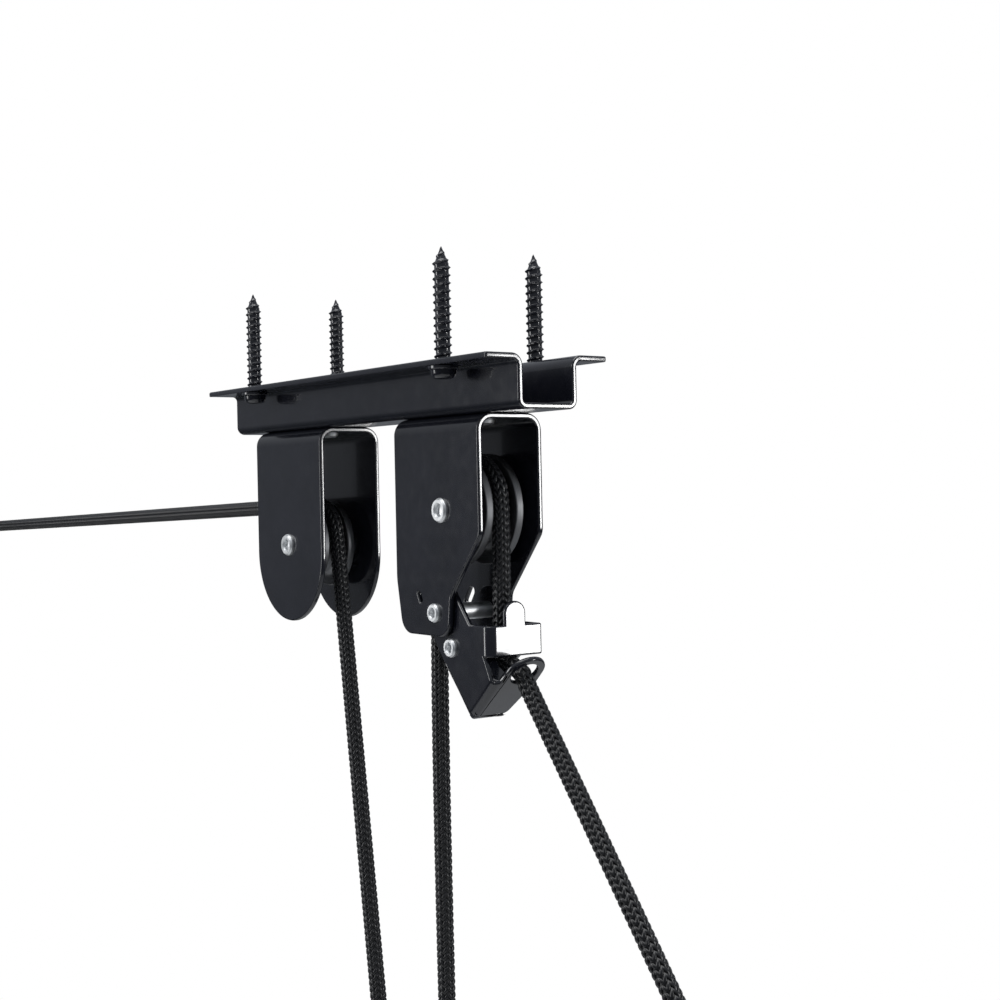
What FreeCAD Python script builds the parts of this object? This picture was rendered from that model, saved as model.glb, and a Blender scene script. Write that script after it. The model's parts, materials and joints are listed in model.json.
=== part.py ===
import FreeCAD, Part
import math
import os
import re
import Sketcher
from FreeCAD import Placement, Rotation, Vector

# A pulley rack for a ceiling hoist. A hat-section rail is screwed up against a joist, and two
# inverted-U brackets hang from its web: a small one that turns the travelling rope downwards,
# and a larger one whose swinging lock lever pinches the hauling rope against the sheave.
# X runs along the rail, Y across it, Z up. Z = 0 is the joist face, and X = Y = 0 is the
# centre of the four lag screws. All sizes are in millimetres.

os.makedirs("parts", exist_ok=True)
doc = FreeCAD.newDocument("pulley_rack")

SIZES = {
    # rail
    "gauge": 2.0,
    "rail_length": 205.0,
    "rail_width": 24.0,
    "rail_drop": 18.0,
    "flange_reach": 12.7,
    "flange_bend": 2.0,
    "web_bend": 1.2,
    # lag screws
    "screw_pitch": 140.0,
    "screw_row": 38.6,
    "stud_radius": 3.2,
    "shank_radius": 2.8,
    "stud_length": 38.0,
    "stud_point": 6.0,
    "screw_hole": 3.5,
    "head_radius": 5.35,
    "head_rim": 1.2,
    "dome_radius": 4.4,
    "head_height": 4.4,
    "drive_radius": 2.0,
    "drive_depth": 2.2,
    # both brackets
    "bracket_width": 26.8,
    "top_bend": 4.0,
    "web_rivet_pitch": 24.0,
    # small bracket and its sheave
    "small_axle_x": -54.6,
    "small_axle_z": -64.2,
    "small_half": 27.2,
    "small_round_drop": 3.4,
    "small_sheave_radius": 17.2,
    "small_groove_radius": 11.9,
    "small_rope_circle": 15.8,
    "small_sheave_width": 14.4,
    "small_groove_width": 8.4,
    # lock bracket and its sheave
    "lock_axle_x": 57.7,
    "lock_axle_z": -50.6,
    "lock_left": 30.2,
    "lock_right": 22.9,
    "lock_bottom": -94.4,
    "lock_sheave_radius": 19.4,
    "lock_groove_radius": 13.0,
    "lock_rope_circle": 17.0,
    "lock_sheave_width": 15.6,
    "lock_groove_width": 9.6,
    "near_slot_x": 43.0,
    "near_slot_z": -81.1,
    "near_slot_width": 1.7,
    "near_slot_length": 4.2,
    "near_slot_slant": -26.0,
    "far_slot_x": 37.4,
    "far_slot_z": -82.5,
    "far_slot_width": 3.2,
    "far_slot_length": 8.0,
    "far_slot_slant": 34.0,
    # both sheaves
    "groove_taper": 0.4,
    "groove_round": 2.6,
    "rim_round": 0.5,
    "rim_wall": 1.6,
    "face_dish": 1.4,
    "hub_wall": 2.6,
    # sheave bearings
    "axle_radius": 3.0,
    "axle_play": 0.05,
    "bush_radius": 5.0,
    "bush_stand": 0.3,
    "spacer_radius": 5.2,
    "side_play": 0.15,
    # rivets
    "big_head_radius": 4.3,
    "small_head_radius": 3.3,
    "small_shank": 2.0,
    "rivet_head": 1.5,
    "rivet_cup": 1.7,
    # lock lever
    "pivot_x": 52.7,
    "pivot_z": -86.2,
    "pair_x": 59.2,
    "pair_z": -98.0,
    "lever_gauge": 1.8,
    "lever_width": 22.2,
    "lever_bend": 1.4,
    "pivot_play": 0.05,
    "sleeve_radius": 3.0,
    "strap_face_x": 81.6,
    "strap_corner": 0.8,
    "strap_top_z": -89.5,
    "strap_bottom_z": -100.1,
    "tab_width": 8.8,
    "tab_top_z": -81.5,
    "tab_round": 4.2,
    "toe_back": 2.5,
    "toe_drop": 0.5,
    "web_slope": 128.7,
    "web_length": 26.0,
    "web_toe_side": 1.5,
    "eye_root_x": 71.0,
    "eye_root_z": -121.0,
    "eye_slope": 43.0,
    "eye_centre": 22.5,
    "eye_side": -0.8,
    "eye_radius": 4.9,
    "eye_tip": 7.6,
    # rope
    "rope_radius": 3.2,
    "knot_radius": 10.0,
    "knot_length": 19.0,
    "knot_edge": 5.5,
    "knot_tail": 9.0,
}

sheet = doc.addObject("Spreadsheet::Sheet", "sizes")
for row, (alias, value) in enumerate(SIZES.items(), 1):
    sheet.set(f"A{row}", alias)
    sheet.set(f"B{row}", str(value))
    sheet.setAlias(f"B{row}", alias)
doc.recompute()

# How a body's own Z axis lies in the rack: up, across, along, and a side view whose
# depth runs towards -Y.
UP = Rotation()
ACROSS = Rotation(Vector(1, 0, 0), -90)
SIDE = Rotation(Vector(1, 0, 0), 90)
ALONG = Rotation(Vector(1, 1, 1), 120)


def cells(text):
    """The expression, with each of the sheet's aliases in it written in full."""
    return re.sub(r"[a-z_]+", lambda m: "sizes." + m[0] if m[0] in SIZES else m[0], str(text))


def size(name):
    return SIZES[name]


def bind(item, prop, text):
    item.setExpression(prop, cells(text))


def place(item, turn, at):
    item.Placement = Placement(Vector(), turn)
    for axis, text in zip("xyz", at):
        bind(item, "Placement.Base." + axis, text)


def plane(body, role):
    return next(f for f in body.Origin.OriginFeatures if f.Role == role)


def outline(body, name, role, corners, circles=()):
    """A closed sketch through the corners, each held by two cells' expressions."""
    sketch = body.newObject("Sketcher::SketchObject", name)
    sketch.AttachmentSupport = (plane(body, role), [""])
    sketch.MapMode = "FlatFace"
    doc.recompute()
    spots = [[float(sketch.evalExpression(cells(t))) for t in corner] for corner in corners]
    count = len(spots)
    for n in range(count):
        ends = [Vector(*spots[k % count], 0) for k in (n, n + 1)]
        sketch.addGeometry(Part.LineSegment(*ends))
    for n in range(count):
        sketch.addConstraint(Sketcher.Constraint("Coincident", n, 2, (n + 1) % count, 1))
    for n, (spot, corner) in enumerate(zip(spots, corners)):
        hold(sketch, n, 1, spot, corner)
    for text_x, text_y, text_radius in circles:
        spot = [float(sketch.evalExpression(cells(t))) for t in (text_x, text_y)]
        radius = float(sketch.evalExpression(cells(text_radius)))
        ring = sketch.addGeometry(Part.Circle(Vector(*spot, 0), Vector(0, 0, 1), radius))
        hold(sketch, ring, 3, spot, (text_x, text_y))
        kept = sketch.addConstraint(Sketcher.Constraint("Radius", ring, radius))
        bind(sketch, f"Constraints[{kept}]", text_radius)
    return sketch


def hold(sketch, geometry, point, spot, texts):
    """Ties one sketch point to the origin by its two coordinates."""
    for kind, axis, value, text in zip(("DistanceX", "DistanceY"), (-2, -1), spot, texts):
        if abs(value) < 1e-9:
            sketch.addConstraint(Sketcher.Constraint("PointOnObject", geometry, point, axis))
        else:
            rule = Sketcher.Constraint(kind, -1, 1, geometry, point, value)
            bind(sketch, f"Constraints[{sketch.addConstraint(rule)}]", text)


def edges_at(feature, spots, upright=True):
    """Names of the edges that pass through the spots: upright lines, or circles about Z."""
    names = []
    for number, edge in enumerate(feature.Shape.Edges, 1):
        first, last = (v.Point for v in (edge.Vertexes[0], edge.Vertexes[-1]))
        line = isinstance(edge.Curve, (Part.Line, Part.LineSegment))
        for x, y in spots:
            if upright:
                close = all(math.hypot(p.x - x, p.y - y) < 0.02 for p in (first, last))
                found = line and close and abs(first.z - last.z) > 0.5
            else:
                found = not line and math.hypot(math.hypot(first.x, first.y) - x, first.z - y) < 0.02
            if found and f"Edge{number}" not in names:
                names.append(f"Edge{number}")
    if not names:
        raise ValueError(f"{feature.Name} has no edge at {spots}")
    return names


def rounding(body, feature, name, spots, radius, upright=True):
    doc.recompute()
    texts = [[float(feature.evalExpression(cells(t))) for t in spot] for spot in spots]
    fillet = body.newObject("PartDesign::Fillet", name)
    fillet.Base = (feature, edges_at(feature, texts, upright))
    bind(fillet, "Radius", radius)
    return fillet


def slab(name, turn, at, corners, depth, rounds=(), circles=()):
    """A flat outline padded to its depth, with some of its upright corners rounded."""
    body = doc.addObject("PartDesign::Body", name)
    sketch = outline(body, name + "_outline", "XY_Plane", corners, circles)
    pad = body.newObject("PartDesign::Pad", name + "_pad")
    pad.Profile = sketch
    bind(pad, "Length", depth)
    sketch.Visibility = False
    last = pad
    for step, (radius, spots) in enumerate(rounds):
        last = rounding(body, last, f"{name}_round_{step}", spots, radius)
    place(body, turn, at)
    return body


def turned(name, turn, at, corners, rounds=()):
    """A profile of (radius, height) corners turned about the body's own Z axis."""
    body = doc.addObject("PartDesign::Body", name)
    sketch = outline(body, name + "_profile", "XZ_Plane", corners)
    spin = body.newObject("PartDesign::Revolution", name + "_turn")
    spin.Profile = sketch
    spin.ReferenceAxis = (sketch, ["V_Axis"])
    spin.Angle = 360
    last = spin
    for step, (radius, spots) in enumerate(rounds):
        last = rounding(body, last, f"{name}_round_{step}", spots, radius, upright=False)
    place(body, turn, at)
    return body


def rod(name, turn, at, radius, length):
    cylinder = doc.addObject("Part::Cylinder", name)
    bind(cylinder, "Radius", radius)
    bind(cylinder, "Height", length)
    place(cylinder, turn, at)
    return cylinder


def joined(name, shapes, kind="Part::MultiFuse"):
    item = doc.addObject(kind, name)
    item.Shapes = shapes
    item.Refine = True
    return item


def without(name, base, tool):
    item = doc.addObject("Part::Cut", name)
    item.Base = base
    item.Tool = tool
    item.Refine = True
    return item


def group(name, members):
    """Identical pieces kept as separate solids in one node."""
    item = doc.addObject("Part::Compound", name)
    item.Links = members
    return item


# ---------------------------------------------------------------- rail


def rail_section():
    half = "rail_width / 2"
    lip = "rail_width / 2 + flange_reach"
    return [
        (lip, "-gauge"),
        (lip, "0"),
        (f"{half} - gauge", "0"),
        (f"{half} - gauge", "gauge - rail_drop"),
        (f"gauge - {half}", "gauge - rail_drop"),
        (f"gauge - {half}", "0"),
        (f"-({lip})", "0"),
        (f"-({lip})", "-gauge"),
        (f"-({half})", "-gauge"),
        (f"-({half})", "-rail_drop"),
        (half, "-rail_drop"),
        (half, "-gauge"),
    ]


def screw_spots():
    for side_x in ("", "-"):
        for side_y in ("", "-"):
            yield f"{side_x}screw_pitch / 2", f"{side_y}screw_row / 2"


def web_rivet_spots(centre):
    return [f"{centre} {sign} web_rivet_pitch / 2" for sign in "-+"]


SMALL_CENTRE = "small_axle_x"
LOCK_CENTRE = "lock_axle_x + (lock_right - lock_left) / 2"


def mounting_rail():
    half = "rail_width / 2"
    channel = slab(
        "rail_channel",
        ALONG,
        ("-rail_length / 2", "0", "0"),
        rail_section(),
        "rail_length",
        [
            ("flange_bend + gauge", [(f"{half} - gauge", "0"), (f"gauge - {half}", "0")]),
            ("flange_bend", [(half, "-gauge"), (f"-({half})", "-gauge")]),
            ("web_bend + gauge", [(half, "-rail_drop"), (f"-({half})", "-rail_drop")]),
            (
                "web_bend",
                [(f"{half} - gauge", "gauge - rail_drop"), (f"gauge - {half}", "gauge - rail_drop")],
            ),
        ],
    )
    holes = [
        rod(f"screw_hole_{n}", UP, (x, y, "-2 * gauge"), "screw_hole", "3 * gauge")
        for n, (x, y) in enumerate(screw_spots())
    ]
    for n, x in enumerate(web_rivet_spots(SMALL_CENTRE) + web_rivet_spots(LOCK_CENTRE)):
        holes.append(rod(f"web_hole_{n}", UP, (x, "0", "-rail_drop - 1"), "small_shank", "gauge + 2"))
    return without("mounting_rail", channel, joined("rail_holes", holes))


def rail_lag_screws():
    """Domed washer-head screws up through the flanges; the wider thread is in the joist."""
    screws = [
        turned(
            f"lag_screw_{n}",
            UP,
            (x, y, "-gauge"),
            [
                ("0", "drive_depth - head_height"),
                ("drive_radius", "drive_depth - head_height"),
                ("drive_radius", "-head_height"),
                ("dome_radius * 0.7", "-head_height"),
                ("dome_radius", "-head_height * 0.6"),
                ("dome_radius", "-head_rim"),
                ("head_radius", "-head_rim"),
                ("head_radius", "0"),
                ("shank_radius", "0"),
                ("shank_radius", "gauge"),
                ("stud_radius", "gauge"),
                ("stud_radius", "gauge + stud_length - stud_point"),
                ("0", "gauge + stud_length"),
            ],
        )
        for n, (x, y) in enumerate(screw_spots())
    ]
    return group("rail_lag_screws", screws)


# ---------------------------------------------------------------- brackets


def bracket_section():
    """The inverted U, seen along the rail: its top lies on the rail's web."""
    out = "bracket_width / 2"
    inside = f"{out} - gauge"
    foot = "lock_bottom - 6"
    return [
        (out, foot),
        (out, "-rail_drop"),
        (f"-{out}", "-rail_drop"),
        (f"-{out}", foot),
        (f"gauge - {out}", foot),
        (f"gauge - {out}", "-rail_drop - gauge"),
        (inside, "-rail_drop - gauge"),
        (inside, foot),
    ]


def bracket_channel(name, start, length):
    out = "bracket_width / 2"
    under = "-rail_drop - gauge"
    return slab(
        name,
        ALONG,
        (start, "0", "0"),
        bracket_section(),
        length,
        [
            ("top_bend + gauge", [(out, "-rail_drop"), (f"-{out}", "-rail_drop")]),
            ("top_bend", [(f"{out} - gauge", under), (f"gauge - {out}", under)]),
        ],
    )


def side_view(name, corners, rounds):
    """An outline seen from the side, deep enough to trim a whole bracket."""
    at = ("0", "bracket_width / 2 + 1", "0")
    return slab(name, SIDE, at, corners, "bracket_width + 2", rounds)


def bracket_holes(name, axle_x, axle_z, centre):
    out = "bracket_width / 2 + 1"
    holes = [rod(name + "_axle_hole", ACROSS, (axle_x, f"-({out})", axle_z), "axle_radius", f"2 * ({out})")]
    for n, x in enumerate(web_rivet_spots(centre)):
        low = "-rail_drop - gauge - 1"
        holes.append(rod(f"{name}_web_hole_{n}", UP, (x, "0", low), "small_shank", "gauge + 2"))
    return holes


def small_bracket():
    start = f"{SMALL_CENTRE} - small_half"
    channel = bracket_channel("small_channel", start, "2 * small_half")
    centre_z = "small_axle_z - small_round_drop"
    block = side_view(
        "small_side",
        [
            (start, centre_z),
            (f"{SMALL_CENTRE} + small_half", centre_z),
            (f"{SMALL_CENTRE} + small_half", "0"),
            (start, "0"),
        ],
        [],
    )
    at = (SMALL_CENTRE, "-bracket_width / 2 - 1", centre_z)
    lobe = rod("small_lobe", ACROSS, at, "small_half", "bracket_width + 2")
    side = joined("small_outline", [block, lobe])
    plate = joined("small_plate", [channel, side], "Part::MultiCommon")
    holes = bracket_holes("small", "small_axle_x", "small_axle_z", SMALL_CENTRE)
    return without("small_bracket", plate, joined("small_holes", holes))


def guard_slot(name, from_y):
    """A slanted slot through one cheek, for a guard pin; the two cheeks' slots differ."""
    half = f"{name}_width / 2"
    end = f"{name}_length / 2"
    corners = [(f"-{half}", f"-{end}"), (half, f"-{end}"), (half, end), (f"-{half}", end)]
    slant = Rotation(Vector(0, 1, 0), size(f"{name}_slant")).multiply(SIDE)
    at = (f"{name}_x", from_y, f"{name}_z")
    return slab(name, slant, at, corners, "gauge + 2", [(f"{half} - 0.01", corners)])


def lock_bracket():
    left = "lock_axle_x - lock_left"
    right = "lock_axle_x + lock_right"
    channel = bracket_channel("lock_channel", left, "lock_left + lock_right")
    shoulder = (right, "lock_axle_z - 8.4")
    waist = ("pivot_x + 9.6", "pivot_z + 5.8")
    toe_right = ("pivot_x + 8.1", "lock_bottom")
    toe_left = ("pivot_x - 21.6", "lock_bottom")
    hip = (left, "lock_axle_z - 24.5")
    corners = [(left, "0"), hip, toe_left, toe_right, waist, shoulder, (right, "0")]
    rounds = [
        ("6.5", [toe_left, toe_right]),
        ("5", [shoulder, waist]),
        ("20", [hip]),
    ]
    side = side_view("lock_side", corners, rounds)
    plate = joined("lock_plate", [channel, side], "Part::MultiCommon")
    holes = bracket_holes("lock", "lock_axle_x", "lock_axle_z", LOCK_CENTRE)
    out = "-bracket_width / 2 - 1"
    through = "bracket_width + 2"
    holes.append(rod("pivot_hole", ACROSS, ("pivot_x", out, "pivot_z"), "small_shank", through))
    holes.append(guard_slot("near_slot", "-bracket_width / 2 + gauge + 1"))
    holes.append(guard_slot("far_slot", "bracket_width / 2 + 1"))
    return without("lock_bracket", plate, joined("lock_holes", holes))


# ---------------------------------------------------------------- rivets and bearings


def rivet(name, turn, at, grip, shank, head):
    """A semi-tubular rivet: a domed head below its grip, and above it a rolled ring."""
    return turned(
        name,
        turn,
        at,
        [
            ("0", "-rivet_head"),
            (f"{head} * 0.62", "-rivet_head"),
            (f"{head} * 0.9", "-rivet_head * 0.62"),
            (head, "0"),
            (shank, "0"),
            (shank, grip),
            (head, grip),
            (head, f"{grip} + rivet_head * 0.45"),
            (f"{head} * 0.86", f"{grip} + rivet_head"),
            (f"{head} * 0.62", f"{grip} + rivet_head"),
            (f"{head} * 0.5", f"{grip} + rivet_head * 0.6"),
            (f"{head} * 0.46", f"{grip} + rivet_head - rivet_cup"),
            ("0", f"{grip} + rivet_head - rivet_cup * 1.25"),
        ],
    )


def cross_rivet(name, x, z, width, shank, head):
    """A rivet across the rack, with its rolled ring on the -Y side."""
    return rivet(name, SIDE, (x, f"({width}) / 2", z), width, shank, head)


def web_rivets(name, centre):
    low = "-rail_drop - gauge"
    members = [
        rivet(f"{name}_{n}", UP, (x, "0", low), "2 * gauge", "small_shank", "small_head_radius")
        for n, x in enumerate(web_rivet_spots(centre))
    ]
    return group(name, members)


def tube(name, turn, at, outer, inner, length):
    corners = [(inner, "0"), (outer, "0"), (outer, length), (inner, length)]
    return turned(name, turn, at, corners)


def axle_spacers(name, x, z, width):
    """Two tubes that keep a sheave in the middle of its bracket."""
    inner_face = "bracket_width / 2 - gauge"
    length = f"{inner_face} - {width} / 2 - bush_stand - side_play"
    starts = {"near": f"-({inner_face})", "far": f"{inner_face} - ({length})"}
    members = [
        tube(f"{name}_{side}", ACROSS, (x, y, z), "spacer_radius", "axle_radius", length)
        for side, y in starts.items()
    ]
    return group(name, members)


def sheave(name, x, z, radius, groove, width, groove_width):
    """A grooved wheel with thick square rims and a dished face each side."""
    lip = f"{width} / 2"
    inner = f"{groove_width} / 2"
    taper = "groove_taper"
    dish = "face_dish"
    hub = "bush_radius + hub_wall"
    rim_inner = f"{groove} - rim_wall"
    profile = [
        ("bush_radius", f"-{lip}"),
        (hub, f"-{lip}"),
        (f"{hub} + {dish}", f"{dish} - {lip}"),
        (f"{rim_inner} - {dish}", f"{dish} - {lip}"),
        (rim_inner, f"-{lip}"),
        (radius, f"-{lip}"),
        (radius, f"-{inner}"),
        (groove, f"{taper} - {inner}"),
        (groove, f"{inner} - {taper}"),
        (radius, inner),
        (radius, lip),
        (rim_inner, lip),
        (f"{rim_inner} - {dish}", f"{lip} - {dish}"),
        (f"{hub} + {dish}", f"{lip} - {dish}"),
        (hub, lip),
        ("bush_radius", lip),
    ]
    rounds = [
        ("groove_round", [(groove, f"{taper} - {inner}"), (groove, f"{inner} - {taper}")]),
        ("rim_round", [(radius, f"-{lip}"), (radius, f"-{inner}"), (radius, inner), (radius, lip)]),
    ]
    return turned(name, ACROSS, (x, "0", z), profile, rounds)


def sheave_bush(name, x, z, width):
    """The oil-filled bush pressed through a sheave; it stands a little proud of each face."""
    length = f"{width} + 2 * bush_stand"
    at = (x, f"-({length}) / 2", z)
    return tube(name, ACROSS, at, "bush_radius", "axle_radius + axle_play", length)


# ---------------------------------------------------------------- lock lever


def lever_plan():
    """The lever's two cheeks and its front strap, seen from above."""
    out = "lever_width / 2"
    back = "pivot_x - 12"
    strap = "strap_face_x - lever_gauge"
    return [
        (back, f"-{out}"),
        ("strap_face_x", f"-{out}"),
        ("strap_face_x", out),
        (back, out),
        (back, f"{out} - lever_gauge"),
        (strap, f"{out} - lever_gauge"),
        (strap, f"lever_gauge - {out}"),
        (back, f"lever_gauge - {out}"),
    ]


def lever_upper():
    """Both cheeks round the pivot and the strap between them, below the rope tab."""
    out = "lever_width / 2"
    strap = "strap_face_x - lever_gauge"
    low = "strap_bottom_z - 6"
    cheeks = slab(
        "lever_cheeks",
        UP,
        ("0", "0", low),
        lever_plan(),
        f"20 + pivot_z - ({low})",
        [
            ("lever_bend + lever_gauge", [("strap_face_x", f"-{out}")]),
            ("lever_bend", [(strap, f"lever_gauge - {out}")]),
            ("strap_corner", [("strap_face_x", out)]),
        ],
    )
    crown_left = ("pivot_x - 8.6", "pivot_z + 8.6")
    crown_right = ("pivot_x + 7.6", "pivot_z + 8.6")
    saddle = ("strap_face_x - 11.4", "strap_top_z")
    heel = ("pivot_x + 2.0", "pair_z - 6.3")
    ball = ("pair_x + 6.6", "pair_z - 6.3")
    side = side_view(
        "lever_side",
        [
            crown_left,
            ("pivot_x - 8.6", "pivot_z - 4.7"),
            heel,
            ball,
            ("strap_face_x - 10", "strap_bottom_z"),
            ("strap_face_x + 2", "strap_bottom_z"),
            ("strap_face_x + 2", "strap_top_z"),
            saddle,
            crown_right,
        ],
        [("8", [crown_left]), ("4", [crown_right]), ("2.5", [heel, ball])],
    )
    return joined("lever_upper", [cheeks, side], "Part::MultiCommon")


def lever_tab():
    """The tongue that stands up from the strap and presses on the rope."""
    half = "tab_width / 2"
    left = (f"-{half}", "tab_top_z")
    right = (half, "tab_top_z")
    corners = [(f"-{half}", "strap_top_z - 2"), (half, "strap_top_z - 2"), right, left]
    at = ("strap_face_x - lever_gauge", "0", "0")
    return slab("lever_tab", ALONG, at, corners, "lever_gauge", [("tab_round", [left, right])])


def lever_lower():
    """The near cheek's long tail, folded inwards into the plate that carries the rope eye."""
    out = "lever_width / 2"
    root = ("eye_root_x", "0", "eye_root_z")
    slope = Rotation(Vector(0, 1, 0), -size("eye_slope"))
    # the fold, seen up the slope: its own X is across the rack and its Y leaves the plate
    seen_up_slope = slope.multiply(ALONG)
    fold = slab(
        "lever_fold",
        seen_up_slope,
        root,
        [
            (f"-{out}", "0"),
            (out, "0"),
            (out, "lever_gauge"),
            (f"lever_gauge - {out}", "lever_gauge"),
            (f"lever_gauge - {out}", "40"),
            (f"-{out}", "40"),
        ],
        "eye_centre + eye_tip + 3",
        [
            ("lever_bend + lever_gauge", [(f"-{out}", "0")]),
            ("lever_bend", [(f"lever_gauge - {out}", "lever_gauge")]),
        ],
    )
    toe = ("eye_root_x - toe_back", "eye_root_z - toe_drop")
    tail = slab(
        "lever_tail",
        SIDE,
        ("0", "-lever_width / 2 + lever_gauge + lever_bend", "0"),
        [
            ("pivot_x - 6.4", "pivot_z - 7.5"),
            toe,
            ("eye_root_x - 0.1", "eye_root_z - 0.5"),
            ("eye_root_x + 12.4", "eye_root_z + 11.2"),
            ("strap_face_x - 2.6", "strap_bottom_z - 1.0"),
            ("strap_face_x - 4.1", "strap_bottom_z + 1.4"),
            ("strap_face_x - 4.1", "strap_top_z - 2.5"),
            ("pivot_x - 2.7", "strap_top_z - 2.5"),
        ],
        "lever_gauge + lever_bend + 0.5",
        [("2.5", [toe])],
    )
    tip_near = ("eye_centre + eye_tip", "eye_side - eye_tip")
    tip_far = ("eye_centre + eye_tip", "eye_side + eye_tip")
    root_far = ("0", "2.9")
    eye = slab(
        "lever_eye",
        slope,
        ("eye_root_x + sin(eye_slope * 1 deg)", "0", "eye_root_z - cos(eye_slope * 1 deg)"),
        [
            ("0", f"-{out} - 0.5"),
            ("16.2", f"-{out} - 0.5"),
            ("18.8", "eye_side - eye_tip"),
            tip_near,
            tip_far,
            ("17.0", "eye_side + eye_tip"),
            root_far,
        ],
        "lever_gauge + lever_bend + 1.2",
        [("eye_tip - 0.1", [tip_near, tip_far]), ("3", [root_far])],
        [("eye_centre", "eye_side", "eye_radius")],
    )
    limits = joined("lever_lower_limits", [tail, eye])
    return joined("lever_lower", [fold, limits], "Part::MultiCommon")


def lever_web():
    """The web behind both cheeks. It narrows down to the fold of the rope plate."""
    out = "lever_width / 2"
    inner = f"lever_gauge / 2 - {out}"
    slope = Rotation(Vector(0, 1, 0), -size("web_slope"))
    web = slab(
        "lever_back",
        slope,
        (
            "eye_root_x - toe_back + lever_gauge * sin(web_slope * 1 deg)",
            "0",
            "eye_root_z - toe_drop - lever_gauge * cos(web_slope * 1 deg)",
        ),
        [
            ("1.2", inner),
            ("1.2", "web_toe_side"),
            ("5", "web_toe_side + 3"),
            ("11", out),
            ("web_length", out),
            ("web_length", inner),
        ],
        "lever_gauge",
    )
    at = ("eye_root_x - 1.46", inner, "eye_root_z + 1.24")
    toe = rod("lever_toe", ACROSS, at, "1.85", f"web_toe_side - ({inner})")
    return joined("lever_web", [web, toe])


def lock_lever():
    plate = joined("lever_plate", [lever_upper(), lever_tab(), lever_lower(), lever_web()])
    far = "-bracket_width / 2"
    through = "bracket_width"
    holes = joined(
        "lever_holes",
        [
            rod("lever_pivot_hole", ACROSS, ("pivot_x", far, "pivot_z"), "small_shank + pivot_play", through),
            rod("lever_pair_hole", ACROSS, ("pair_x", far, "pair_z"), "small_shank", through),
        ],
    )
    return without("lock_lever", plate, holes)


def lever_sleeve(name, x, z, play):
    """A tube round a rivet between the lever's cheeks."""
    half = f"lever_width / 2 - lever_gauge - {play}"
    return tube(name, ACROSS, (x, f"-({half})", z), "sleeve_radius", "small_shank", f"2 * ({half})")


# ---------------------------------------------------------------- ropes

# Each route is chosen by hand. The points round a sheave stand outside the rope's circle,
# so that arcs of the circle's own size fit between them.
TRAVEL_ROUTE = [
    (-492.0, 0.0, -60.23),
    (-53.3, 0.0, -48.36),
    (-47.54, 0.0, -49.47),
    (-41.24, 0.0, -54.81),
    (-39.19, 0.0, -60.3),
    (-13.27, 0.0, -244.7),
]
LOAD_ROUTE = [
    (57.7, 0.0, -33.6),
    (52.34, 0.0, -33.6),
    (43.85, -0.6, -39.54),
    (41.06, -1.0, -46.39),
    (35.18, -1.5, -100.5),
    (36.9, -1.5, -233.2),
]
SPAN_ROUTE = [
    (57.7, 0.0, -33.6),
    (63.22, 0.0, -33.6),
    (72.16, 0.0, -40.09),
    (74.74, -0.1, -48.02),
    (74.2, -0.3, -86.0),
    (74.2, -0.5, -98.8),
    (77.0, -0.6, -103.2),
    (80.0, -0.675, -103.6125),
]
HAND_ROUTE = [
    (80.0, -0.675, -103.6125),
    (85.0, -0.8, -104.3),
    (88.2, -0.8, -108.75),
    (161.6, -0.8, -199.4),
]
FREE_SHARE = 0.45
CIRCLE_SHARE = 0.985


def rope(name, route, circle="rope_radius", corners_on_circle=0):
    """A round tube: straight runs joined by tangent arcs, the first few of a sheave's size."""
    points = [Vector(*p) for p in route]
    runs = [b - a for a, b in zip(points, points[1:])]
    room = [run.Length for run in runs]
    room[0] *= 2
    room[-1] *= 2
    edges = []
    start = points[0]
    for n in range(1, len(points) - 1):
        before = runs[n - 1] / runs[n - 1].Length
        after = runs[n] / runs[n].Length
        half_turn = before.getAngle(after) / 2
        radius = FREE_SHARE * min(room[n - 1], room[n]) / math.tan(half_turn)
        if n <= corners_on_circle:
            radius = CIRCLE_SHARE * size(circle)
        reach = radius * math.tan(half_turn)
        enter = points[n] - before * reach
        leave = points[n] + after * reach
        inwards = (after - before).normalize()
        middle = points[n] + inwards * (radius / math.cos(half_turn) - radius)
        if (enter - start).Length > 0.001:
            edges.append(Part.LineSegment(start, enter).toShape())
        edges.append(Part.Arc(enter, middle, leave).toShape())
        print(f"{name} corner {n} radius {radius:.1f}")
        start = leave
    edges.append(Part.LineSegment(start, points[-1]).toShape())
    path = Part.Wire(edges)
    radius = size("rope_radius")
    section = Part.Wire(Part.makeCircle(radius, points[0], runs[0]))
    solid = path.makePipeShell([section], True, False)
    wanted = math.pi * radius**2 * path.Length
    print(f"{name} length {path.Length:.1f} volume ratio {solid.Volume / wanted:.4f}")
    item = doc.addObject("Part::Feature", name)
    item.Shape = solid
    return item


def stopper_knot(name, route):
    """The knot at a rope's end, and the short tail that hangs from it."""
    end = Vector(*route[-1])
    away = (end - Vector(*route[-2])).normalize()
    turn = Rotation(Vector(0, 0, 1), away)
    corners = [
        ("0", "0"),
        ("knot_radius", "0"),
        ("knot_radius", "knot_length"),
        ("rope_radius", "knot_length"),
        ("rope_radius", "knot_length + knot_tail"),
        ("0", "knot_length + knot_tail"),
    ]
    rounds = [("knot_edge", [("knot_radius", "0"), ("knot_radius", "knot_length")])]
    return turned(name, turn, [str(c) for c in end], corners, rounds)


# ---------------------------------------------------------------- the rack

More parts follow.
